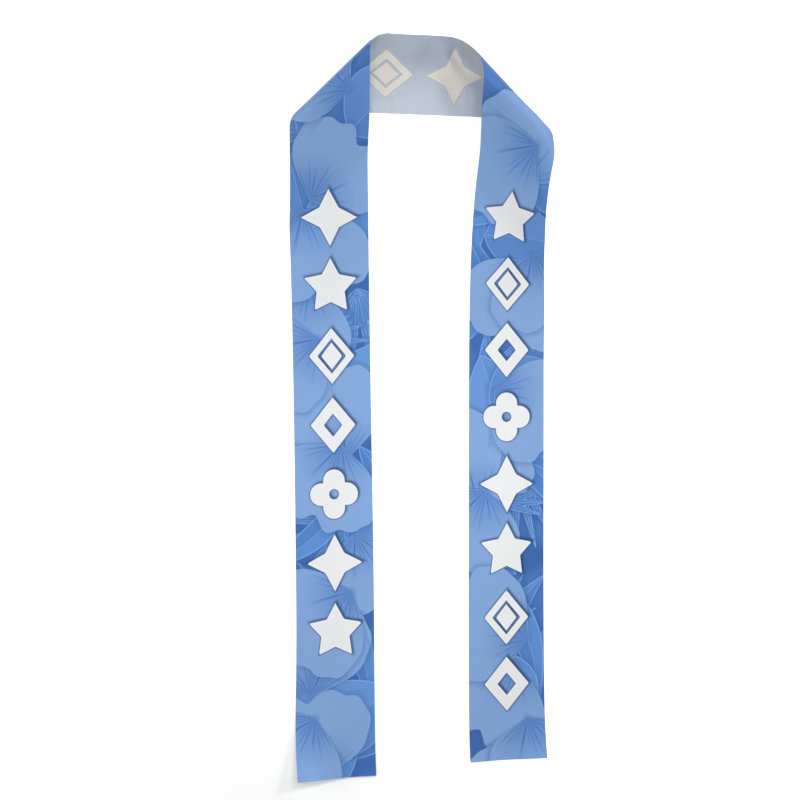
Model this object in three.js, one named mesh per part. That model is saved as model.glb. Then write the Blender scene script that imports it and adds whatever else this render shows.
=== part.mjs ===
// A satin stole laid out flat: one long strip of cloth. Its neck band lies face down, and a rolled
// diagonal fold at each end of the band turns the strip over into a tail that lies face up.
// Millimetres. +X runs to the right along the neck band, +Y from the tails to the neck, +Z up.
import * as THREE from "three";

// The flat strip
const stripLength = 1830;
const stripWidth = 92;
const wall = 1;
const layerGap = 0.4;
const half = stripWidth / 2;

// The neck band: strip distance at x = 0, and the height of its centre line on the floor plan
const neckStation = 906;
const neckY = 376;

// A rolled fold starts where the band's centre line meets it at x. lean is the angle between the
// fold and the band, and fall the slope at which the upper layer comes down behind the roll. drift
// is how far that layer slips toward +X as it comes over.
const folds = {
  left: { side: -1, x: -65, lean: 47.45, topRadius: 11.2, bottomRadius: 11.5, fall: 15.3, drift: -5.9 },
  right: { side: 1, x: 74, lean: 44.15, topRadius: 21.5, bottomRadius: 20.2, fall: 26.5, drift: 6 },
};
const foldLength = 130;
const landingRadius = 60;

// Past the band's lower edge each tail steps down from the band to the floor
const stepStart = 3;
const stepLength = 35;

// Each tail from its fold to its end: turn in degrees toward +X, breadth as a share of the width
const leftTail = [
  { along: 20, turn: 0, breadth: 1.075 },
  { along: 70, turn: -1.8, breadth: 1.064 },
  { along: 150, turn: -2.8, breadth: 1.02 },
  { along: 300, turn: -2.9, breadth: 0.993 },
  { along: 520, turn: -3, breadth: 0.998 },
  { along: 700, turn: -3.7, breadth: 1.012 },
  { along: 860, turn: -3.5, breadth: 1.07 },
];
const rightTail = [
  { along: 20, turn: 0, breadth: 1.03 },
  { along: 60, turn: 1.7, breadth: 1 },
  { along: 100, turn: -4.9, breadth: 0.92 },
  { along: 140, turn: -5.3, breadth: 0.908 },
  { along: 190, turn: -4, breadth: 0.947 },
  { along: 250, turn: -2, breadth: 0.989 },
  { along: 340, turn: -0.8, breadth: 0.993 },
  { along: 520, turn: -0.8, breadth: 0.997 },
  { along: 700, turn: -0.3, breadth: 1.005 },
  { along: 860, turn: 0.4, breadth: 1.024 },
];

// Soft swells, placed on the plan: reach is half the length along the angle, girth half the breadth
const swells = [
  { x: 150, y: 402, angle: -47, reach: 110, girth: 80, rise: 9 },
  { x: 20, y: 434, angle: 0, reach: 85, girth: 54, rise: 13 },
  { x: -14, y: 392, angle: 38, reach: 62, girth: 15, rise: 3.4 },
  { x: 4, y: 386, angle: 62, reach: 52, girth: 12, rise: 2.8 },
  { x: 30, y: 394, angle: 104, reach: 44, girth: 11, rise: 2.6 },
  { x: 52, y: 384, angle: 124, reach: 60, girth: 14, rise: 3.4 },
  { x: 72, y: 372, angle: 138, reach: 66, girth: 15, rise: 3.0 },
  { x: -101, y: 170, angle: 84, reach: 90, girth: 40, rise: 3.0 },
  { x: 128, y: 205, angle: 86, reach: 100, girth: 50, rise: 5.0 },
  { x: -96, y: -60, angle: 92, reach: 130, girth: 36, rise: 2.2 },
  { x: 132, y: -130, angle: 88, reach: 120, girth: 36, rise: 2.4 },
];

// Places on the plan where the cloth is drawn in or let out: how far it shifts along X and Y
const tucks = [
  { x: -36, y: 418, reach: 15, shiftX: 0.5, shiftY: -1.7 },
  { x: 20, y: 424, reach: 75, shiftX: 0, shiftY: -1.6 },
  { x: 68, y: 415, reach: 20, shiftX: -0.4, shiftY: -1.4 },
  { x: 172, y: 316, reach: 16, shiftX: 1.4, shiftY: 0.8 },
];

// Lifted corners of the two ends: reach along the tail, across share at which the lift begins
const curls = [
  { tail: "left", edge: 1, reach: 95, start: -0.7, rise: 22 },
  { tail: "left", edge: -1, reach: 45, start: -0.2, rise: 3 },
  { tail: "right", edge: 1, reach: 55, start: -0.4, rise: 6 },
  { tail: "right", edge: -1, reach: 50, start: -0.1, rise: 4 },
];

// Sections and columns of the faceted solid
const columns = 6;
const tailStep = 18;
const neckSections = 12;
const squareReach = 170;

const radians = THREE.MathUtils.degToRad;
const clamp = THREE.MathUtils.clamp;

function ease(share) {
  const u = clamp(share, 0, 1);
  return u * u * (3 - 2 * u);
}

function bump(share) {
  const u = Math.min(Math.abs(share), 1);
  return (1 - u * u) ** 2;
}

// Smooth run through one column of a table, level beyond its first and last rows
function readTable(rows, column, along) {
  const d = clamp(along, rows[0].along, rows[rows.length - 1].along);
  let k = 0;
  while (k < rows.length - 2 && d > rows[k + 1].along) {
    k += 1;
  }
  const slope = (i) => {
    if (i === 0 || i === rows.length - 1) {
      return 0;
    }
    return (rows[i + 1][column] - rows[i - 1][column]) / (rows[i + 1].along - rows[i - 1].along);
  };
  const span = rows[k + 1].along - rows[k].along;
  const u = (d - rows[k].along) / span;
  const rise = rows[k + 1][column] - rows[k][column];
  const bend = u * (1 - u) * ((1 - u) * span * slope(k) - u * span * slope(k + 1));
  return rows[k][column] + rise * ease(u) + bend;
}

// Directions of a fold on the plan: e along it, m out of the band, u down the tail, n across it
function foldFrame(fold) {
  const a = radians(fold.lean);
  const e = new THREE.Vector2(-fold.side * Math.cos(a), Math.sin(a));
  const m = new THREE.Vector2(fold.side * Math.sin(a), Math.cos(a));
  const u = new THREE.Vector2(fold.side * (2 * e.x * e.x - 1), fold.side * 2 * e.x * e.y);
  const n = new THREE.Vector2(-u.y, u.x);
  return { e, m, u, n };
}

// A rolled fold in section: cloth that has run p past the start of the roll lies out and up there
function rollProfile(p, radius, fallAngle) {
  const fall = radians(fallAngle);
  const rest = wall + layerGap;
  const slope = radius * (1 + Math.cos(fall)) - landingRadius * (1 - Math.cos(fall)) - rest;
  const slopeLength = slope / Math.sin(fall);
  const noseLength = radius * (Math.PI + fall);
  const landingLength = landingRadius * fall;
  if (p <= 0) {
    return { out: p, up: 0, noseLength, slopeLength, landingLength };
  }
  const turn = Math.min(p, noseLength) / radius;
  const down = clamp(p - noseLength, 0, slopeLength);
  const left = fall - clamp(p - noseLength - slopeLength, 0, landingLength) / landingRadius;
  const flat = Math.max(p - noseLength - slopeLength - landingLength, 0);
  const landed = left < fall;
  const landOut = landed ? landingRadius * (Math.sin(fall) - Math.sin(left)) : 0;
  const landDown = landed ? landingRadius * (Math.cos(left) - Math.cos(fall)) : 0;
  const out = radius * Math.sin(turn) - down * Math.cos(fall) - landOut - flat;
  const up = radius * (1 - Math.cos(turn)) - down * Math.sin(fall) - landDown;
  return { out, up, noseLength, slopeLength, landingLength };
}

// The tail's centre line, walked in short steps from its fold: distance down, drift aside
function walkTail(rows) {
  const step = 10;
  const walk = [{ down: 0, aside: 0 }];
  for (let d = step; d <= 1000; d += step) {
    const turn = radians(readTable(rows, "turn", d - step / 2));
    const last = walk[walk.length - 1];
    walk.push({ down: last.down + step * Math.cos(turn), aside: last.aside + step * Math.sin(turn) });
  }
  return (d) => {
    if (d <= 0) {
      return { down: d, aside: 0 };
    }
    const k = Math.min(Math.floor(d / step), walk.length - 2);
    const share = d / step - k;
    return {
      down: THREE.MathUtils.lerp(walk[k].down, walk[k + 1].down, share),
      aside: THREE.MathUtils.lerp(walk[k].aside, walk[k + 1].aside, share),
    };
  };
}

const tails = {
  left: { fold: folds.left, rows: leftTail, walk: walkTail(leftTail), frame: foldFrame(folds.left) },
  right: { fold: folds.right, rows: rightTail, walk: walkTail(rightTail), frame: foldFrame(folds.right) },
};

function swellHeight(x, y) {
  let height = 0;
  for (const swell of swells) {
    const a = radians(swell.angle);
    const along = (x - swell.x) * Math.cos(a) + (y - swell.y) * Math.sin(a);
    const across = (y - swell.y) * Math.cos(a) - (x - swell.x) * Math.sin(a);
    height += swell.rise * bump(along / swell.reach) * bump(across / swell.girth);
  }
  return height;
}

function curlHeight(name, toEnd, t) {
  let height = 0;
  for (const curl of curls.filter((row) => row.tail === name)) {
    const across = (t * curl.edge / half - curl.start) / (1 - curl.start);
    const along = clamp(1 - toEnd / curl.reach, 0, 1);
    height += curl.rise * along * along * ease(across);
  }
  return height;
}

// Middle of the cloth at strip distance s from the left end and t across, where t = half is the
// outer edge of each tail and the lower edge of the neck band
function clothPoint(s, t) {
  const point = new THREE.Vector3(s - neckStation, neckY - t, wall / 2);
  for (const [name, tail] of Object.entries(tails)) {
    const { fold, frame } = tail;
    const dx = s - neckStation - fold.x;
    const p = dx * frame.m.x - t * frame.m.y;
    const q = dx * frame.e.x - t * frame.e.y;
    if (p <= 0) {
      continue;
    }
    const share = ease(0.5 + q / foldLength);
    const radius = THREE.MathUtils.lerp(fold.bottomRadius, fold.topRadius, share);
    const roll = rollProfile(p, radius, fold.fall);
    const x = q * frame.e.x + roll.out * frame.m.x;
    const y = q * frame.e.y + roll.out * frame.m.y;
    const d = x * frame.u.x + y * frame.u.y;
    const c = (x * frame.n.x + y * frame.n.y) * readTable(tail.rows, "breadth", d);
    const turn = radians(readTable(tail.rows, "turn", d));
    const centre = tail.walk(d);
    const over = ease((p / radius - Math.PI / 2) / (Math.PI / 2));
    const down = centre.down - c * Math.sin(turn);
    const aside = centre.aside + c * Math.cos(turn) + fold.drift * over;
    point.x = fold.x + down * frame.u.x + aside * frame.n.x;
    point.y = neckY + down * frame.u.y + aside * frame.n.y;
    const step = (wall + layerGap) * ease((neckY - half - stepStart - point.y) / stepLength);
    const toEnd = fold.side < 0 ? s : stripLength - s;
    point.z += roll.up - over * step + curlHeight(name, toEnd, t);
  }
  point.z += swellHeight(point.x, point.y);
  for (const tuck of tucks) {
    const near = bump(Math.hypot(point.x - tuck.x, point.y - tuck.y) / tuck.reach);
    point.x += tuck.shiftX * near;
    point.y += tuck.shiftY * near;
  }
  return point;
}

// Direction of the cloth's face side at a place on the strip
function faceNormal(s, t) {
  const reach = 0.5;
  const s0 = Math.max(s - reach, 0);
  const s1 = Math.min(s + reach, stripLength);
  const t0 = Math.max(t - reach, -half);
  const t1 = Math.min(t + reach, half);
  const alongStrip = clothPoint(s1, t).sub(clothPoint(s0, t));
  const acrossStrip = clothPoint(s, t1).sub(clothPoint(s, t0));
  return alongStrip.cross(acrossStrip).normalize();
}

// Sections of the strip: station on the centre line, and how far it slants per unit across. Near
// a fold they run parallel to it, so that the roll's facets are flat
function makeSections() {
  const sections = [];
  const addSection = (station, slant) => sections.push({ station, slant });
  const slantOf = (fold) => fold.side / Math.tan(radians(fold.lean));
  const stationOf = (fold, p) => neckStation + fold.x + fold.side * p / Math.sin(radians(fold.lean));
  const rollRuns = (fold) => {
    const lengths = rollProfile(0, (fold.topRadius + fold.bottomRadius) / 2, fold.fall);
    const runs = [];
    const spans = [
      { length: lengths.noseLength, steps: 10 },
      { length: lengths.slopeLength, steps: 3 },
      { length: lengths.landingLength, steps: 3 },
    ];
    let start = 0;
    for (const span of spans) {
      for (let k = 0; k < span.steps; k += 1) {
        runs.push(start + span.length * k / span.steps);
      }
      start += span.length;
    }
    runs.push(start);
    return runs;
  };
  const addTail = (fold, endStation) => {
    const runs = rollRuns(fold);
    const list = runs.map((p) => ({ station: stationOf(fold, p), slant: slantOf(fold) }));
    const first = list[list.length - 1].station;
    const count = Math.round(Math.abs(endStation - first) / tailStep);
    for (let k = 1; k <= count; k += 1) {
      const station = THREE.MathUtils.lerp(first, endStation, k / count);
      const fade = 1 - ease(Math.abs(station - first) / squareReach);
      list.push({ station, slant: slantOf(fold) * fade });
    }
    return list;
  };
  for (const row of addTail(folds.left, 0).reverse()) {
    addSection(row.station, row.slant);
  }
  for (let k = 1; k < neckSections; k += 1) {
    const share = k / neckSections;
    const station = THREE.MathUtils.lerp(stationOf(folds.left, 0), stationOf(folds.right, 0), share);
    addSection(station, THREE.MathUtils.lerp(slantOf(folds.left), slantOf(folds.right), share));
  }
  for (const row of addTail(folds.right, stripLength)) {
    addSection(row.station, row.slant);
  }
  return sections;
}

// The closed solid: a face grid, a reverse grid and a rim between them
function makeStrip() {
  const sections = makeSections();
  const face = [];
  const reverse = [];
  for (const section of sections) {
    for (let j = 0; j <= columns; j += 1) {
      const t = THREE.MathUtils.lerp(-half, half, j / columns);
      const s = section.station + section.slant * t;
      const middle = clothPoint(s, t);
      const offset = faceNormal(s, t).multiplyScalar(wall / 2);
      face.push(middle.clone().add(offset));
      reverse.push(middle.clone().sub(offset));
    }
  }
  const points = [...face, ...reverse];
  const width = columns + 1;
  const last = sections.length - 1;
  const faceAt = (i, j) => i * width + j;
  const reverseAt = (i, j) => face.length + i * width + j;
  const triangles = [];
  const addQuad = (a, b, c, d) => triangles.push(a, b, c, a, c, d);
  for (let i = 0; i < last; i += 1) {
    for (let j = 0; j < columns; j += 1) {
      addQuad(faceAt(i, j), faceAt(i + 1, j), faceAt(i + 1, j + 1), faceAt(i, j + 1));
      addQuad(reverseAt(i, j), reverseAt(i, j + 1), reverseAt(i + 1, j + 1), reverseAt(i + 1, j));
    }
    addQuad(faceAt(i + 1, 0), faceAt(i, 0), reverseAt(i, 0), reverseAt(i + 1, 0));
    addQuad(faceAt(i, columns), faceAt(i + 1, columns), reverseAt(i + 1, columns), reverseAt(i, columns));
  }
  for (let j = 0; j < columns; j += 1) {
    addQuad(faceAt(0, j), faceAt(0, j + 1), reverseAt(0, j + 1), reverseAt(0, j));
    addQuad(faceAt(last, j + 1), faceAt(last, j), reverseAt(last, j), reverseAt(last, j + 1));
  }
  const geometry = new THREE.BufferGeometry();
  geometry.setAttribute("position", new THREE.Float32BufferAttribute(points.flatMap((v) => v.toArray()), 3));
  geometry.setIndex(triangles);
  return geometry;
}

// The origin is under the middle of the finished shape, on the floor
function centreOnFloor(geometry) {
  geometry.computeBoundingBox();
  const box = geometry.boundingBox;
  geometry.translate(-(box.min.x + box.max.x) / 2, -(box.min.y + box.max.y) / 2, -box.min.z);
  geometry.computeVertexNormals();
}

const satin = new THREE.MeshStandardMaterial({
  name: "printed_satin",
  color: new THREE.Color(0.36, 0.53, 0.79),
  roughness: 0.38,
  metalness: 0,
});

const strip = makeStrip();
centreOnFloor(strip);

const stole = new THREE.Group();
const cloth = new THREE.Mesh(strip, satin);
cloth.name = "stole";
stole.add(cloth);

export default stole;
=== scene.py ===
# Satin stole laid out flat: one long printed strip whose neck band lies face down, and which a
# rolled fold at each end of the band turns over into a tail that lies face up.
# The cloth's place is worked out in millimetres and put down in metres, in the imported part's frame.
import math
import random

import bpy
import numpy as np
from mathutils import Matrix, Vector


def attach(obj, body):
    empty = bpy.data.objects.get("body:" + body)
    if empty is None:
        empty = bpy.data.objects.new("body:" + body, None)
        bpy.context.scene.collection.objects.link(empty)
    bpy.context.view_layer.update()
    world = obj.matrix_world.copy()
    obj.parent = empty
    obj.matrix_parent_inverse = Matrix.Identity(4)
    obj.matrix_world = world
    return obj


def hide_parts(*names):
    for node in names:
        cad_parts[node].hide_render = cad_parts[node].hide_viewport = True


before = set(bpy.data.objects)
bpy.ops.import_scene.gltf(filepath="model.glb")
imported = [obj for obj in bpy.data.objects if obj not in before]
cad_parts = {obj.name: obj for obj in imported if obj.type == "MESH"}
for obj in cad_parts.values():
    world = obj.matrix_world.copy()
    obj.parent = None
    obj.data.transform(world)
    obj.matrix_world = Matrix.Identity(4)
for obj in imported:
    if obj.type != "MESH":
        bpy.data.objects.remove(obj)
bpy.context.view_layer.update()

# The flat strip, how thick the cloth is, the air between two layers, and the cells of the model
STRIP_LENGTH = 1830.0
STRIP_WIDTH = 92.0
HALF = STRIP_WIDTH / 2
CLOTH = 0.4
LAYER_GAP = 0.3
CELL = 2.0
LENGTH_CELLS = round(STRIP_LENGTH / CELL)
WIDTH_CELLS = round(STRIP_WIDTH / CELL)

# The neck band, and the middle of the whole laid-out stole on the same floor plan
NECK_STATION = 906.0
NECK_Y = 376.0
MIDDLE = (22.3, -8.37)

# A rolled fold starts where the band's centre line meets it at x. lean is the angle between fold
# and band, fall the slope at which the upper layer comes down behind the roll, and drift how far
# that layer slips toward +X as it comes over.
FOLDS = {
    "left": dict(side=-1, x=-65, lean=47.45, top=11.2, bottom=11.5, fall=15.3, drift=-5.9),
    "right": dict(side=1, x=74, lean=44.15, top=21.5, bottom=20.2, fall=26.5, drift=6),
}

# A roll's radius changes from bottom to top over FOLD_LENGTH. Painted shade lies along the outermost
# line of each roll; its reach from that line is given as a share of the radius. Where the upper layer
# comes down it levels out with LANDING_RADIUS. Beyond the band's edge it sinks by one layer, from
# STEP_START past that edge on, over STEP_LENGTH.
FOLD_LENGTH = 130.0
PAINTED_SHADE_REACH = 1.2
LANDING_RADIUS = 60.0
STEP_START = 3.0
STEP_LENGTH = 35.0

# Each tail from its fold to its end: along, turn in degrees toward +X, breadth as a share. Its
# centre line is walked in steps of TAIL_STEP.
TAIL_STEP = 10.0
TAIL_REACH = 1000.0
TAILS = {
    "left": (
        (20, 0, 1.075),
        (70, -1.8, 1.064),
        (150, -2.8, 1.02),
        (300, -2.9, 0.993),
        (520, -3.0, 0.998),
        (700, -3.7, 1.012),
        (860, -3.5, 1.07),
    ),
    "right": (
        (20, 0, 1.03),
        (60, 1.7, 1.0),
        (100, -4.9, 0.92),
        (140, -5.3, 0.908),
        (190, -4.0, 0.947),
        (250, -2.0, 0.989),
        (340, -0.8, 0.993),
        (520, -0.8, 0.997),
        (700, -0.3, 1.005),
        (860, 0.4, 1.024),
    ),
}

# Soft swells on the plan: x, y, angle, reach, girth, rise
SWELLS = (
    (150, 402, -47, 110, 80, 9),
    (20, 434, 0, 85, 54, 13),
    (-14, 392, 38, 62, 15, 3.4),
    (4, 386, 62, 52, 12, 2.8),
    (30, 394, 104, 44, 11, 2.6),
    (52, 384, 124, 60, 14, 3.4),
    (72, 372, 138, 66, 15, 3.0),
    (-101, 170, 84, 90, 40, 3.0),
    (128, 205, 86, 100, 50, 5.0),
    (-96, -60, 92, 130, 36, 2.2),
    (132, -130, 88, 120, 36, 2.4),
)

# Places on the plan where the cloth is drawn in or let out: x, y, reach, shift along X and Y
TUCKS = (
    (-36, 418, 15, 0.5, -1.7),
    (20, 424, 75, 0.0, -1.6),
    (68, 415, 20, -0.4, -1.4),
    (172, 316, 16, 1.4, 0.8),
)

# Lifted corners of the two ends: tail, edge, reach, start, rise
CURLS = (
    ("left", 1, 95, -0.7, 22),
    ("left", -1, 45, -0.2, 3),
    ("right", 1, 55, -0.4, 6),
    ("right", -1, 50, -0.1, 4),
)


def ease(share):
    """Runs smoothly from 0 to 1 as share does, and is level outside."""
    u = np.clip(share, 0, 1)
    return u * u * (3 - 2 * u)


def bump(share):
    """1 at share 0, running smoothly to 0 at -1 and 1."""
    u = np.minimum(np.abs(share), 1)
    return (1 - u * u) ** 2


def read_table(rows, column, along):
    """Smooth run through one column of a tail's table, level beyond its two ends."""
    x = np.array([row[0] for row in rows], float)
    y = np.array([row[column] for row in rows], float)
    d = np.clip(along, x[0], x[-1])
    slope = np.zeros(len(x))
    slope[1:-1] = (y[2:] - y[:-2]) / (x[2:] - x[:-2])
    k = np.clip(np.searchsorted(x, d, side="left") - 1, 0, len(x) - 2)
    span = x[k + 1] - x[k]
    u = (d - x[k]) / span
    bend = u * (1 - u) * ((1 - u) * span * slope[k] - u * span * slope[k + 1])
    return y[k] + (y[k + 1] - y[k]) * ease(u) + bend


def fold_frame(fold):
    """Directions on the plan: along the fold, out of the band, down the tail and across it."""
    a = math.radians(fold["lean"])
    side = fold["side"]
    along = np.array([-side * math.cos(a), math.sin(a)])
    out = np.array([side * math.sin(a), math.cos(a)])
    down = np.array([side * (2 * along[0] ** 2 - 1), side * 2 * along[0] * along[1]])
    across = np.array([-down[1], down[0]])
    return along, out, down, across


def roll_profile(p, radius, fall_angle):
    """The roll in section: how far out and up cloth lies that has run p past its start."""
    fall = math.radians(fall_angle)
    drop = radius * (1 + math.cos(fall)) - LANDING_RADIUS * (1 - math.cos(fall))
    slope_length = (drop - CLOTH - LAYER_GAP) / math.sin(fall)
    nose_length = radius * (math.pi + fall)
    turn = np.clip(p, 0, nose_length) / radius
    down = np.clip(p - nose_length, 0, slope_length)
    landing = np.clip(p - nose_length - slope_length, 0, LANDING_RADIUS * fall)
    left = fall - landing / LANDING_RADIUS
    flat = np.maximum(p - nose_length - slope_length - LANDING_RADIUS * fall, 0)
    landed = left < fall
    landing_out = np.where(landed, LANDING_RADIUS * (math.sin(fall) - np.sin(left)), 0)
    landing_down = np.where(landed, LANDING_RADIUS * (np.cos(left) - math.cos(fall)), 0)
    out = radius * np.sin(turn) - down * math.cos(fall) - landing_out - flat
    up = radius * (1 - np.cos(turn)) - down * math.sin(fall) - landing_down
    return np.where(p <= 0, p, out), np.where(p <= 0, 0, up)


def walk_tail(rows):
    """The tail's centre line in short steps from its fold: distance, down and aside."""
    reach = np.arange(TAIL_STEP, TAIL_REACH + 1, TAIL_STEP)
    turn = np.radians(read_table(rows, 1, reach - TAIL_STEP / 2))
    down = np.concatenate([[0], np.cumsum(TAIL_STEP * np.cos(turn))])
    aside = np.concatenate([[0], np.cumsum(TAIL_STEP * np.sin(turn))])
    return np.concatenate([[0], reach]), down, aside


def swell_height(x, y):
    """How far all the swells together lift the cloth at a place on the plan."""
    height = np.zeros_like(x)
    for centre_x, centre_y, angle, reach, girth, rise in SWELLS:
        a = math.radians(angle)
        along = (x - centre_x) * math.cos(a) + (y - centre_y) * math.sin(a)
        across = (y - centre_y) * math.cos(a) - (x - centre_x) * math.sin(a)
        height += rise * bump(along / reach) * bump(across / girth)
    return height


def curl_height(name, to_end, t):
    """How far the lifted corners raise one tail at a distance from its end."""
    height = np.zeros_like(t)
    for tail, edge, reach, start, rise in CURLS:
        if tail == name:
            along = np.clip(1 - to_end / reach, 0, 1)
            across = (t * edge / HALF - start) / (1 - start)
            height += rise * along**2 * ease(across)
    return height


def place_in_fold(fold, s, t):
    """Distance run past the roll's start, distance along the roll, and its radius there."""
    along, out, _, _ = fold_frame(fold)
    dx = s - NECK_STATION - fold["x"]
    p = dx * out[0] - t * out[1]
    q = dx * along[0] - t * along[1]
    return p, q, fold["bottom"] + (fold["top"] - fold["bottom"]) * ease(0.5 + q / FOLD_LENGTH)


def painted_roll_shade(s, t):
    """Painted shade on the cloth: 1 along the outermost line of each roll, fading toward its top and
    its foot.
    """
    shade = np.zeros_like(s)
    for fold in FOLDS.values():
        p, _, radius = place_in_fold(fold, s, t)
        shade = np.maximum(shade, bump((p / radius - math.pi / 2) / PAINTED_SHADE_REACH))
    return shade


def lay_cloth(s, t):
    """Middle of the cloth at strip distance s from the left end and t across it, in mm."""
    x, y = s - NECK_STATION, NECK_Y - t
    z = np.full(s.shape, CLOTH / 2)
    for name, fold in FOLDS.items():
        along, out, down, across = fold_frame(fold)
        p, q, radius = place_in_fold(fold, s, t)
        roll_out, roll_up = roll_profile(p, radius, fold["fall"])
        plan_x = q * along[0] + roll_out * out[0]
        plan_y = q * along[1] + roll_out * out[1]
        d = plan_x * down[0] + plan_y * down[1]
        rows = TAILS[name]
        c = (plan_x * across[0] + plan_y * across[1]) * read_table(rows, 2, d)
        turn = np.radians(read_table(rows, 1, d))
        reach, walk_down, walk_aside = walk_tail(rows)
        over = ease((p / radius - math.pi / 2) / (math.pi / 2))
        far = np.where(d <= 0, d, np.interp(d, reach, walk_down)) - c * np.sin(turn)
        aside = np.where(d <= 0, 0, np.interp(d, reach, walk_aside)) + c * np.cos(turn)
        aside = aside + fold["drift"] * over
        new_x = fold["x"] + far * down[0] + aside * across[0]
        new_y = NECK_Y + far * down[1] + aside * across[1]
        step = (CLOTH + LAYER_GAP) * ease((NECK_Y - HALF - STEP_START - new_y) / STEP_LENGTH)
        to_end = s if fold["side"] < 0 else STRIP_LENGTH - s
        new_z = z + roll_up - over * step + curl_height(name, to_end, t)
        turned = p > 0
        x = np.where(turned, new_x, x)
        y = np.where(turned, new_y, y)
        z = np.where(turned, new_z, z)
    z = z + swell_height(x, y)
    for centre_x, centre_y, reach, shift_x, shift_y in TUCKS:
        near = bump(np.hypot(x - centre_x, y - centre_y) / reach)
        x, y = x + shift_x * near, y + shift_y * near
    return np.stack([x - MIDDLE[0], y - MIDDLE[1], z], axis=-1)


# The print. Every motif is a closed shape on the flat strip. A layer of motifs is kept on the
# cloth as three numbers at each point: how far the nearest edge is in mm (less than 0 inside),
# and the place along and across that motif. The materials turn those into crisp colours.
# No distance beyond FAR is kept, and LEAST_SLOPE is the least steepness one is divided by.
FAR = 30.0
LEAST_SLOPE = 0.35

# How far a motif strays from its row: place across the strip, turn, share of size and of pitch
ASIDE = (8, 34)
TURN_STRAY = (-14, 14)
SIZE_STRAY = (0.88, 1.12)
PITCH_STRAY = (0.94, 1.06)


def fan_leaf(along, across, size):
    """A leaf like an open fan, with its stalk at the origin and a wavy far edge."""
    reach = np.hypot(along, across)
    angle = np.arctan2(across, along)
    spread = 1.25
    notch_depth = 0.2
    notch_width = 0.13
    share = np.clip(np.abs(angle) / spread, 0, 1)
    notch = notch_depth * np.exp(-((angle / notch_width) ** 2))
    wave = 0.03 * np.cos(angle * 9) + 0.015 * np.cos(angle * 23 + 1)
    edge = size * (1 - share**3.2) ** 0.45 * (1 - notch + wave)
    return reach - edge, along, across


def blade_leaf(along, across, size, stout=0.11, bow=0.10):
    """A long leaf with a bowed midrib, from its stalk at the origin to its tip."""
    share = along / size
    middle = bow * size * 4 * share * (1 - share)
    off = across - middle
    inside = np.clip(share, 0, 1)
    half_width = stout * size * np.sin(math.pi * inside**0.8) ** 0.85
    beyond = np.maximum(np.maximum(-along, along - size), 0)
    return np.abs(off) - half_width + beyond, along, off


def round_leaf(along, across, size):
    """A broad leaf with a short tip."""
    return blade_leaf(along, across, size, stout=0.36, bow=0.03)


def spray(along, across, size):
    """Seven slender blades that spread from one point, the middle one longest."""
    reach = np.hypot(along, across)
    angle = np.arctan2(across, along)
    between = 0.27
    shorter = 0.09
    stout = 0.055
    blade = np.clip(np.round(angle / between), -3, 3)
    off = (angle - blade * between) * reach
    share = reach / (size * (1 - shorter * np.abs(blade)))
    half_width = stout * size * np.sin(math.pi * np.clip(share, 0, 1) ** 0.7) ** 0.8
    return np.abs(off) - half_width + np.maximum(share - 1, 0) * size, reach, off


def flat_shape(kind, s, t, place):
    """One motif at its place on the strip: distance to its edge, and coordinates in it."""
    centre_s, centre_t, turn, size = place
    a = math.radians(turn)
    along = (s - centre_s) * math.cos(a) + (t - centre_t) * math.sin(a)
    across = (t - centre_t) * math.cos(a) - (s - centre_s) * math.sin(a)
    level, along, across = kind(along, across, size)
    slope_s = np.gradient(level, CELL, axis=1)
    slope_t = np.gradient(level, CELL, axis=0)
    steep = np.maximum(np.hypot(slope_s, slope_t), LEAST_SLOPE)
    return level / steep, along, across


def print_layer(kind, places, s, t):
    """All motifs of one layer, which stand clear of each other."""
    nearest = np.full(s.shape, FAR)
    near_along = np.zeros(s.shape)
    near_across = np.zeros(s.shape)
    for place in places:
        distance, along, across = flat_shape(kind, s, t, place)
        closer = distance < nearest
        nearest = np.where(closer, distance, nearest)
        near_along = np.where(closer, along, near_along)
        near_across = np.where(closer, across, near_across)
    return np.stack([np.clip(nearest, -FAR, FAR), near_along, near_across], axis=-1)


def scatter(seed, start, pitch, size, turns):
    """Places of one layer's motifs along the strip: distance, across, turn and size."""
    draw = random.Random(seed)
    places = []
    station = start
    side = draw.choice((-1, 1))
    while station < STRIP_LENGTH + pitch:
        across = side * draw.uniform(*ASIDE)
        turn = draw.choice(turns) + draw.uniform(*TURN_STRAY)
        places.append((station, across, turn, size * draw.uniform(*SIZE_STRAY)))
        station += pitch * draw.uniform(*PITCH_STRAY)
        side = -side
    return places


def star(s, t, points, outer, inner):
    """Distance to a straight-sided star about the origin, in mm, less than 0 inside."""
    reach = np.hypot(s, t)
    sector = math.pi / points
    angle = np.abs((np.arctan2(t, s) + sector) % (2 * sector) - sector)
    px, py = reach * np.cos(angle), reach * np.sin(angle)
    ax, ay = outer, 0.0
    bx, by = inner * math.cos(sector), inner * math.sin(sector)
    length = math.hypot(bx - ax, by - ay)
    return ((px - ax) * (by - ay) - (py - ay) * (bx - ax)) / length


def lozenge(s, t, tall, broad):
    """Distance to a lozenge about the origin, given half its length along s and along t."""
    slant = math.hypot(tall, broad)
    return (np.abs(s) * broad + np.abs(t) * tall - tall * broad) / slant


# The white marks. Each is a function of the distances along and across the strip from its middle.
STAR_REACH = 33
LOZENGE_TALL = 32
LOZENGE_BROAD = 27


def lozenge_ring(s, t, band):
    outer = lozenge(s, t, LOZENGE_TALL, LOZENGE_BROAD)
    return np.maximum(outer, -(outer + band))


def five_star_mark(s, t):
    return star(s, t, points=5, outer=STAR_REACH, inner=17.5)


def hollow_lozenge_mark(s, t):
    return lozenge_ring(s, t, band=12.0)


def lozenge_in_lozenge_mark(s, t):
    ring = lozenge_ring(s, t, band=7.5)
    return np.minimum(ring, lozenge(s, t, tall=15.5, broad=12.5))


def four_star_mark(s, t):
    return star(s, t, points=4, outer=STAR_REACH, inner=16)


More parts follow.
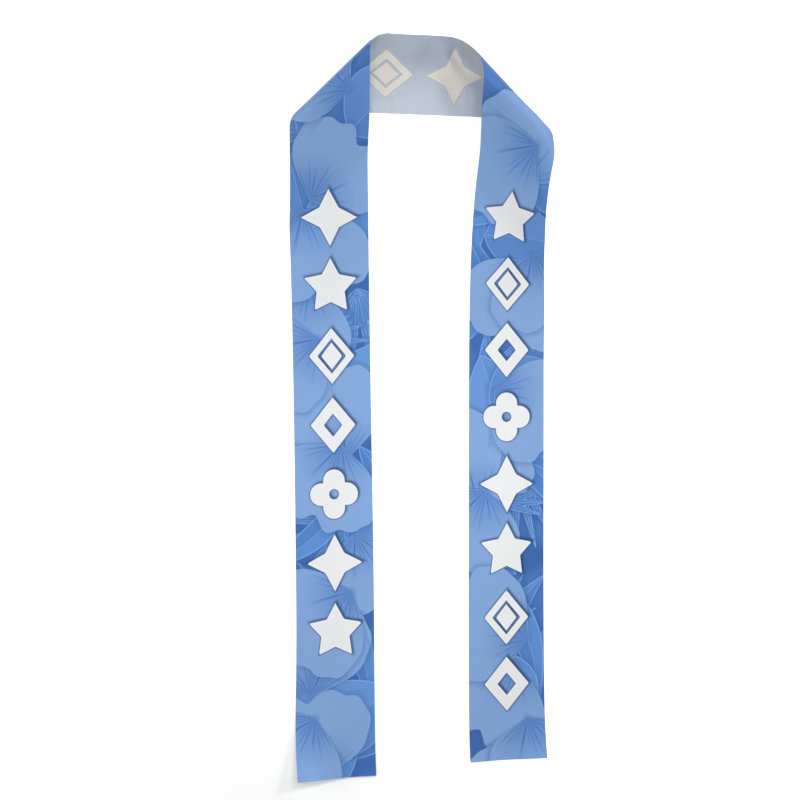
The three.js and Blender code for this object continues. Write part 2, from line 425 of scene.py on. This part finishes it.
def rosette_mark(s, t):
    petal_place = 15.5
    petal_radius = 13.0
    hole_radius = 6.0
    petals = []
    for k in range(4):
        a = k * math.pi / 2
        ds = s - petal_place * math.cos(a)
        dt = t - petal_place * math.sin(a)
        petals.append(np.hypot(ds, dt) - petal_radius)
    return np.maximum(np.minimum.reduce(petals), hole_radius - np.hypot(s, t))


MARKS = (five_star_mark, hollow_lozenge_mark, four_star_mark, lozenge_in_lozenge_mark, rosette_mark)

# The tails' marks: how many, the first one's station, the pitch, the first kind, which way is up
MARK_ROWS = (
    (7, 169, 79.5, 0, 1),
    (8, STRIP_LENGTH - 90, -78.5, 1, -1),
)
# The marks on the hidden face of the neck band: station and kind
NECK_MARKS = ((882, 3), (964, 2))
# How far along and across a mark's printed shade is moved from it
SHADE_SHIFT = 1.6


def mark_places():
    """Every white mark's station along the strip's centre line, its kind, and which way is up."""
    places = []
    for count, first, pitch, first_kind, way in MARK_ROWS:
        for k in range(count):
            places.append((first + pitch * k, (k * 2 + first_kind) % len(MARKS), way))
    for station, kind in NECK_MARKS:
        places.append((station, kind, 1))
    return places


def mark_layer(s, t):
    """Distance to the nearest mark's edge, and to the same mark moved by its printed shade."""
    nearest = np.full(s.shape, FAR)
    shade = np.full(s.shape, FAR)
    for station, kind, way in mark_places():
        ds = (s - station) * way
        dt = t * way
        nearest = np.minimum(nearest, MARKS[kind](ds, dt))
        shade = np.minimum(shade, MARKS[kind](ds - SHADE_SHIFT, dt + SHADE_SHIFT))
    return np.stack([np.clip(nearest, -FAR, FAR), np.clip(shade, -FAR, FAR), s * 0], axis=-1)


def keep_values(mesh, name, values):
    """Keeps three numbers at each point of the mesh, for the materials."""
    attribute = mesh.attributes.new(name, "FLOAT_VECTOR", "POINT")
    attribute.data.foreach_set("vector", values.astype(np.float32).ravel())


# Layers of the print from the lowest to the top one: name, motif, seed, start, pitch, size, turns
LAYERS = (
    ("sprays_1", spray, 5, 10, 190, 88, (20, 70, 160, 200)),
    ("sprays_2", spray, 9, 110, 200, 84, (110, 250, 340, 30)),
    ("blades_1", blade_leaf, 3, -30, 150, 150, (35, 150, 215, -40)),
    ("blades_2", blade_leaf, 8, 20, 160, 140, (60, 118, 240, -62)),
    ("blades_3", blade_leaf, 14, 70, 155, 150, (25, 155, 205, -25)),
    ("rounds_1", round_leaf, 11, 40, 240, 112, (80, 200, 20, 300)),
    ("rounds_2", round_leaf, 12, 160, 250, 104, (100, 250, 160, 330)),
    ("fans_1", fan_leaf, 38, 0, 285, 100, (20, 200, 160, 340)),
    ("fans_2", fan_leaf, 40, 70, 290, 108, (150, 330, 30, 210)),
    ("fans_3", fan_leaf, 25, 95, 285, 102, (10, 190, 170, 350)),
    ("fans_4", fan_leaf, 56, 215, 295, 96, (60, 240, 120, 300)),
)


def make_stole():
    """The cloth without its thickness: a flat grid, its print kept on it, then laid out."""
    bpy.ops.object.select_all(action="DESELECT")
    bpy.ops.mesh.primitive_grid_add(
        x_subdivisions=LENGTH_CELLS, y_subdivisions=WIDTH_CELLS, size=1.0, location=(0, 0, 0)
    )
    piece = bpy.context.object
    piece.name = "satin_stole"
    mesh = piece.data
    mesh.name = "satin_stole"
    flat = np.zeros(len(mesh.vertices) * 3)
    mesh.vertices.foreach_get("co", flat)
    flat = flat.reshape(WIDTH_CELLS + 1, LENGTH_CELLS + 1, 3)
    s = (flat[..., 0] + 0.5) * STRIP_LENGTH
    t = flat[..., 1] * STRIP_WIDTH
    for name, kind, *pattern in LAYERS:
        keep_values(mesh, name, print_layer(kind, scatter(*pattern), s, t))
    keep_values(mesh, "marks", mark_layer(s, t))
    keep_values(mesh, "strip", np.stack([s, t, s * 0], axis=-1))
    # Painted shade along the outermost line of each roll, kept on the cloth for the materials
    keep_values(mesh, "painted_nose_shade", np.stack([painted_roll_shade(s, t), s * 0, s * 0], axis=-1))
    place = lay_cloth(s, t) / 1000
    mesh.vertices.foreach_set("co", place.ravel())
    mesh.update()
    return piece


# The flat layout of the baked pictures, in mm: the face in three lengths side by side, then the
# reverse in three, then the thin rims of the two long edges and of the two ends. A column is a
# length or a rim with the gap to its neighbour, and a rim is drawn RIM wide.
THIRD = STRIP_LENGTH / 3
COLUMN = STRIP_WIDTH + 4
RIM_COLUMN = 4.5
RIM = 2.5
MARGIN = 2.0
MAP_SIDE = 620.0

# Places of the materials in the stole's list
FACE = 0
REVERSE = 1
CUT_EDGE = 2


def lay_out_map(mesh):
    """Unrolls the finished cloth, both faces and its rims, into one square map."""
    corner = np.zeros(len(mesh.loops), int)
    mesh.loops.foreach_get("vertex_index", corner)
    corner = corner.reshape(-1, 4)
    layer = np.zeros(len(mesh.polygons), int)
    mesh.polygons.foreach_get("material_index", layer)
    strip = np.zeros(len(mesh.vertices) * 3)
    mesh.attributes["strip"].data.foreach_get("vector", strip)
    strip = strip.reshape(-1, 3)
    s, t = strip[corner, 0], strip[corner, 1]
    middle_s, middle_t = s.mean(axis=1, keepdims=True), t.mean(axis=1, keepdims=True)
    part = np.floor(middle_s / THIRD)
    layer = layer[:, None]
    u = t + HALF + (part + 3 * layer) * COLUMN
    v = s - part * THIRD
    rims_start = 6 * COLUMN
    rise = (corner >= len(mesh.vertices) // 2) * RIM
    long_rim = (layer == CUT_EDGE) & (np.abs(middle_t) > HALF - 0.01)
    u = np.where(long_rim, rims_start + (part + 3 * (middle_t > 0)) * RIM_COLUMN + rise, u)
    end_rim = (layer == CUT_EDGE) & ~long_rim
    u = np.where(end_rim, rims_start + 6 * RIM_COLUMN + rise, u)
    v = np.where(end_rim, t + HALF + (middle_s > STRIP_LENGTH / 2) * COLUMN, v)
    while mesh.uv_layers:
        mesh.uv_layers.remove(mesh.uv_layers[0])
    places = (np.stack([u, v], axis=-1) + MARGIN) / MAP_SIDE
    mesh.uv_layers.new(name="OFBake").data.foreach_set("uv", places.astype(np.float32).ravel())


class Value:
    """An output socket of a material's node, with arithmetic written as in Python."""

    def __init__(self, tree, socket):
        self.tree = tree
        self.socket = socket

    def math(self, operation, *others, **settings):
        return node(self.tree, "Math", {"operation": operation, **settings}, self, *others)

    def __add__(self, other):
        return self.math("ADD", other)

    def __sub__(self, other):
        return self.math("SUBTRACT", other)

    def __rsub__(self, other):
        return node(self.tree, "Math", {"operation": "SUBTRACT"}, other, self)

    def __mul__(self, other):
        return self.math("MULTIPLY", other)

    def __truediv__(self, other):
        return self.math("DIVIDE", other)

    def __abs__(self):
        return self.math("ABSOLUTE")


def node(tree, kind, settings, *inputs, output=0, **named):
    """Adds one node, first its settings, then the values or links of its sockets."""
    made = tree.nodes.new("ShaderNode" + kind)
    for name, value in settings.items():
        setattr(made, name, value)
    pairs = [(made.inputs[k], value) for k, value in enumerate(inputs)]
    pairs += [(made.inputs[name.replace("_", " ")], value) for name, value in named.items()]
    for socket, value in pairs:
        if isinstance(value, Value):
            tree.links.new(value.socket, socket)
        elif value is not None:
            socket.default_value = value
    return Value(tree, made.outputs[output])


def mix(tree, factor, low, high):
    """Colour that runs from low to high as factor runs from 0 to 1."""
    made = tree.nodes.new("ShaderNodeMix")
    made.data_type = "RGBA"
    factor_input, low_input, high_input, colour_output = 0, 6, 7, 2
    for index, value in ((factor_input, factor), (low_input, low), (high_input, high)):
        if isinstance(value, Value):
            tree.links.new(value.socket, made.inputs[index])
        else:
            made.inputs[index].default_value = value
    return Value(tree, made.outputs[colour_output])


def fade(tree, value, start, stop):
    """1 where value is at start or before it, 0 at stop or beyond, smooth between."""
    return node(tree, "MapRange", {"interpolation_type": "SMOOTHSTEP"}, value, start, stop, 1.0, 0.0)


def tone(red, green, blue):
    """A colour given as on screen, from 0 to 255, as the linear values that Blender takes."""
    linear = []
    for level in (red, green, blue):
        share = level / 255
        linear.append(share / 12.92 if share <= 0.04045 else ((share + 0.055) / 1.055) ** 2.4)
    return (*linear, 1.0)


def parts_of(tree, name):
    """The three numbers of one of the cloth's attributes."""
    made = tree.nodes.new("ShaderNodeAttribute")
    made.attribute_type = "GEOMETRY"
    made.attribute_name = name
    split = tree.nodes.new("ShaderNodeSeparateXYZ")
    tree.links.new(made.outputs["Vector"], split.inputs[0])
    return [Value(tree, socket) for socket in split.outputs]


# Half the breadth, in mm, over which one printed shape's edge turns into what lies under it
EDGE_BLUR = 0.4


def print_colour(tree, inks):
    """The printed blues: leaves over leaves, from the lowest layer to the top one."""
    s, t, _ = parts_of(tree, "strip")
    spot = node(tree, "CombineXYZ", {}, s, t, 0.0)
    cloud = node(tree, "TexNoise", {"noise_dimensions": "2D"}, Vector=spot, Scale=0.014, Detail=1.0)
    colour = mix(tree, fade(tree, cloud, 0.42, 0.58), inks["ground"], inks["deep"])
    for name, kind, *_ in LAYERS:
        edge, along, across = parts_of(tree, name)
        under = fade(tree, edge, 0.0, 8.0) * 0.38
        colour = mix(tree, under, colour, inks["deep"])
        if kind is fan_leaf:
            body = fan_colour(tree, inks, edge, along, across)
        else:
            body = leaf_colour(tree, inks, name, edge, along, across)
        colour = mix(tree, fade(tree, edge, -EDGE_BLUR, EDGE_BLUR), colour, body)
    # On the reverse, painted shade: greyer toward the edge at t = -46, the top edge of the neck band
    if "seep" in inks:
        colour = mix(tree, fade(tree, t, -40, 34) * 0.36, colour, inks["seep"])
    edge, shade, _ = parts_of(tree, "marks")
    soft = fade(tree, shade, -1.0, 3.4)
    close = fade(tree, edge, 0.2, 1.8)
    colour = mix(tree, soft.math("MAXIMUM", close) * 0.82, colour, inks["shade"])
    rim = fade(tree, abs(edge + 0.9), 0.1, 1.0)
    white = mix(tree, rim * 0.6, inks["mark"], inks["mark_rim"])
    return mix(tree, fade(tree, edge, -EDGE_BLUR, EDGE_BLUR), colour, white)


def leaf_colour(tree, inks, name, edge, along, across):
    """A leaf with one half lighter than the other, and a thin pale rim and midrib."""
    half = fade(tree, across, -2.0, 2.0)
    body = mix(tree, half, inks[name[:-2]], inks[name[:-2] + "_half"])
    body = mix(tree, fade(tree, along, 0, 70) * 0.5, body, inks["ground"])
    line = fade(tree, abs(edge + 0.8), 0.2, 0.9)
    rib = fade(tree, abs(across), 0.2, 0.8)
    return mix(tree, line.math("MAXIMUM", rib * 0.7) * 0.65, body, inks["line"])


def fan_colour(tree, inks, edge, along, across):
    """A fan leaf, deeper toward its stalk, where thin dark veins spread and fade out."""
    reach = (along * along + across * across).math("SQRT")
    angle = across.math("ARCTAN2", along)
    body = mix(tree, fade(tree, reach, 4, 66), inks["fan"], inks["root"])
    wander = angle * 27 + (angle * 7).math("SINE") * 1.7 + (reach * 0.05).math("SINE") * 0.6
    uneven = (angle * 11).math("SINE") * 11 + 44
    keep = (1 - reach / uneven).math("MAXIMUM", 0.0)
    vein = (1 - fade(tree, wander.math("SINE"), 0.55, 0.95)) * keep
    body = mix(tree, vein.math("MINIMUM", 1.0) * 1.3, body, inks["vein"])
    return mix(tree, fade(tree, abs(edge + 0.6), 0.2, 1.3) * 0.3, body, inks["fan_rim"])


FACE_INKS = {
    "ground": tone(76, 116, 180),
    "deep": tone(62, 99, 164),
    "sprays": tone(88, 132, 194),
    "sprays_half": tone(84, 126, 188),
    "blades": tone(92, 138, 200),
    "blades_half": tone(82, 126, 190),
    "rounds": tone(102, 144, 204),
    "rounds_half": tone(95, 138, 199),
    "line": tone(136, 176, 222),
    "fan": tone(129, 161, 207),
    "fan_rim": tone(140, 173, 216),
    "root": tone(98, 136, 194),
    "vein": tone(66, 102, 170),
    "shade": tone(40, 60, 104),
    "mark": tone(228, 228, 227),
    "mark_rim": tone(234, 236, 240),
    # The dark blue painted as shade along the outermost line of each roll
    "painted_nose_shade": tone(44, 68, 118),
}

# The reverse: its own grey, and how much of the face's inks shows through it
GREY_BACK = tone(223, 226, 226)
BACK_SHARE = 0.35


def wash(ink, share, ground):
    """The same ink seen through the cloth from behind."""
    return tuple(a * share + b * (1 - share) for a, b in zip(ink, ground))


def satin(name, inks, roughness, glint, sheen):
    """The cloth's material: print, painted shade along each roll's outermost line, and threads along
    the strip.
    """
    material = bpy.data.materials.new(name)
    material.use_nodes = True
    tree = material.node_tree
    shader = tree.nodes["Principled BSDF"]
    colour = print_colour(tree, inks)
    s, t, _ = parts_of(tree, "strip")
    # Paints shade along the outermost line of each roll
    colour = mix(tree, parts_of(tree, "painted_nose_shade")[0] * 0.75, colour, inks["painted_nose_shade"])
    thread = node(tree, "CombineXYZ", {}, s * 0.12, t * 2.6, 0.0)
    streak = node(tree, "TexNoise", {"noise_dimensions": "2D"}, Vector=thread, Scale=1.0, Detail=2.0)
    shader.inputs["Roughness"].default_value = roughness
    shader.inputs["Specular IOR Level"].default_value = 0.45
    shader.inputs["Specular Tint"].default_value = glint
    shader.inputs["Sheen Weight"].default_value = sheen
    shader.inputs["Sheen Roughness"].default_value = 0.3
    shader.inputs["Sheen Tint"].default_value = (0.35, 0.6, 1.0, 1.0)
    tree.links.new(colour.socket, shader.inputs["Base Color"])
    bumped = node(tree, "Bump", {}, Strength=0.12, Distance=0.0002, Height=streak)
    tree.links.new(bumped.socket, shader.inputs["Normal"])
    return material


# The floor's own glow keeps it white. In an oval under the left tail's end it is weaker, so that
# the lifted corner's shadow shows: middle and stretch along X and Y, and where the oval fades out.
OPEN_GLOW = (0.5, 0.5, 0.5, 1)
OVAL_GLOW = (0.12, 0.12, 0.12, 1)
OVAL_PLACE = (-0.11, -0.47, 0.0)
OVAL_STRETCH = (1.0, 1.3, 0.0)
OVAL_FADE = (0.1, 0.26)


def make_floor():
    bpy.ops.object.select_all(action="DESELECT")
    bpy.ops.mesh.primitive_plane_add(size=8.0, location=(0, 0, 0))
    floor = bpy.context.object
    floor.name = "floor"
    material = bpy.data.materials.new("pale_floor")
    material.use_nodes = True
    tree = material.node_tree
    shader = tree.nodes["Principled BSDF"]
    shader.inputs["Base Color"].default_value = (0.93, 0.93, 0.93, 1)
    shader.inputs["Roughness"].default_value = 0.9
    shader.inputs["Specular IOR Level"].default_value = 0.1
    place = node(tree, "TexCoord", {}, output=3)
    off = node(tree, "VectorMath", {"operation": "SUBTRACT"}, place, OVAL_PLACE)
    oval = node(tree, "VectorMath", {"operation": "MULTIPLY"}, off, OVAL_STRETCH)
    reach = node(tree, "VectorMath", {"operation": "LENGTH"}, oval, output=1)
    glow = mix(tree, fade(tree, reach, *OVAL_FADE), OPEN_GLOW, OVAL_GLOW)
    tree.links.new(glow.socket, shader.inputs["Emission Color"])
    shader.inputs["Emission Strength"].default_value = 1.0
    floor.data.materials.append(material)


# Soft panels that all face the origin: name, place, side in metres, power in watts
PANELS = (
    ("left_over", (-0.9, 0.3, 2.0), 0.9, 9.0),
    ("right_back", (2.36, 1.42, 2.57), 0.8, 36.0),
    ("over", (0.0, 0.3, 3.0), 1.4, 13.5),
    ("low_right", (1.3, 1.35, 0.5), 0.9, 6.0),
    ("left_front", (-1.0, -1.05, 1.2), 0.3, 3.0),
    ("low_left", (-1.7, 0.5, 0.75), 0.7, 6.0),
)
# The key light, whose soft cone leaves the far ends of the stole a little darker
KEY_PLACE = (0.05, 1.05, 2.45)
KEY_AIM = (0.04, -0.10, 0)
KEY_CONE = 18.8
KEY_POWER = 116.0
WORLD_STRENGTH = 0.24


def set_lights():
    world = bpy.data.worlds.new("studio")
    world.use_nodes = True
    background = world.node_tree.nodes["Background"]
    background.inputs["Color"].default_value = (1, 1, 1, 1)
    background.inputs["Strength"].default_value = WORLD_STRENGTH
    bpy.context.scene.world = world
    for name, place, size, power in PANELS:
        bpy.ops.object.light_add(type="AREA", location=place)
        bpy.context.object.data.size = size
        turn_light(name, place, (0, 0, 0), power)
    bpy.ops.object.light_add(type="SPOT", location=KEY_PLACE)
    spot = bpy.context.object.data
    spot.spot_size = math.radians(KEY_CONE)
    spot.spot_blend = 1.0
    spot.shadow_soft_size = 0.3
    turn_light("key", KEY_PLACE, KEY_AIM, KEY_POWER)


def turn_light(name, place, aim, power):
    """Names the light just made, sets its power and turns it toward aim."""
    light = bpy.context.object
    light.name = name
    light.data.energy = power
    light.visible_camera = False
    light.rotation_euler = (Vector(aim) - Vector(place)).to_track_quat("-Z", "Y").to_euler()


# The camera looks down on the stole's middle, swung toward +X, tipped and rolled by a few degrees
SWING = math.radians(14.73)
DIP = math.radians(-1.49)
ROLL = math.radians(1.01)
CAMERA_DISTANCE = 2.9626
LENS = 115.16
SENSOR_WIDTH = 36.0


def set_camera():
    right = Vector((math.cos(SWING), 0, math.sin(SWING)))
    back_x = -math.sin(SWING) * math.cos(DIP)
    back_z = math.cos(SWING) * math.cos(DIP)
    back = Vector((back_x, -math.sin(DIP), back_z))
    up = back.cross(right)
    turned_right = right * math.cos(ROLL) + up * math.sin(ROLL)
    turned_up = up * math.cos(ROLL) - right * math.sin(ROLL)
    target = Vector((-MIDDLE[0], -MIDDLE[1], 0)) / 1000
    matrix = Matrix((turned_right, turned_up, back)).transposed().to_4x4()
    matrix.translation = target + back * CAMERA_DISTANCE
    data = bpy.data.cameras.new("camera")
    data.lens = LENS
    data.sensor_width = SENSOR_WIDTH
    camera = bpy.data.objects.new("camera", data)
    bpy.context.scene.collection.objects.link(camera)
    camera.matrix_world = matrix
    bpy.context.scene.camera = camera


set_camera()
bpy.context.scene.view_settings.view_transform = "Standard"

stole = make_stole()
BLUE_GLINT = (0.15, 0.45, 1.0, 1.0)
DULL_GLINT = (0.3, 0.3, 0.3, 1.0)
face = satin("printed_satin", FACE_INKS, 0.36, BLUE_GLINT, 0.35)
BACK_INKS = {name: wash(ink, BACK_SHARE, GREY_BACK) for name, ink in FACE_INKS.items()}
BACK_INKS.update(mark=tone(226, 221, 213), mark_rim=tone(229, 224, 217))
# The grey of the painted shade toward the neck band's top edge, on the reverse
BACK_INKS["seep"] = tone(112, 126, 146)
reverse = satin("satin_reverse", BACK_INKS, 0.42, DULL_GLINT, 0.0)
cut_edge = satin("cut_edge", BACK_INKS, 0.6, DULL_GLINT, 0.0)
for material in (face, reverse, cut_edge):
    stole.data.materials.append(material)

bpy.ops.object.select_all(action="DESELECT")
stole.select_set(True)
bpy.context.view_layer.objects.active = stole
solidify = stole.modifiers.new("cloth", "SOLIDIFY")
solidify.thickness = CLOTH / 1000
solidify.offset = 0.0
solidify.material_offset = REVERSE - FACE
solidify.material_offset_rim = CUT_EDGE - FACE
bpy.ops.object.modifier_apply(modifier=solidify.name)
lay_out_map(stole.data)
bpy.ops.object.shade_smooth_by_angle(angle=math.radians(60))

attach(stole, "root")
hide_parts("stole")

make_floor()
set_lights()
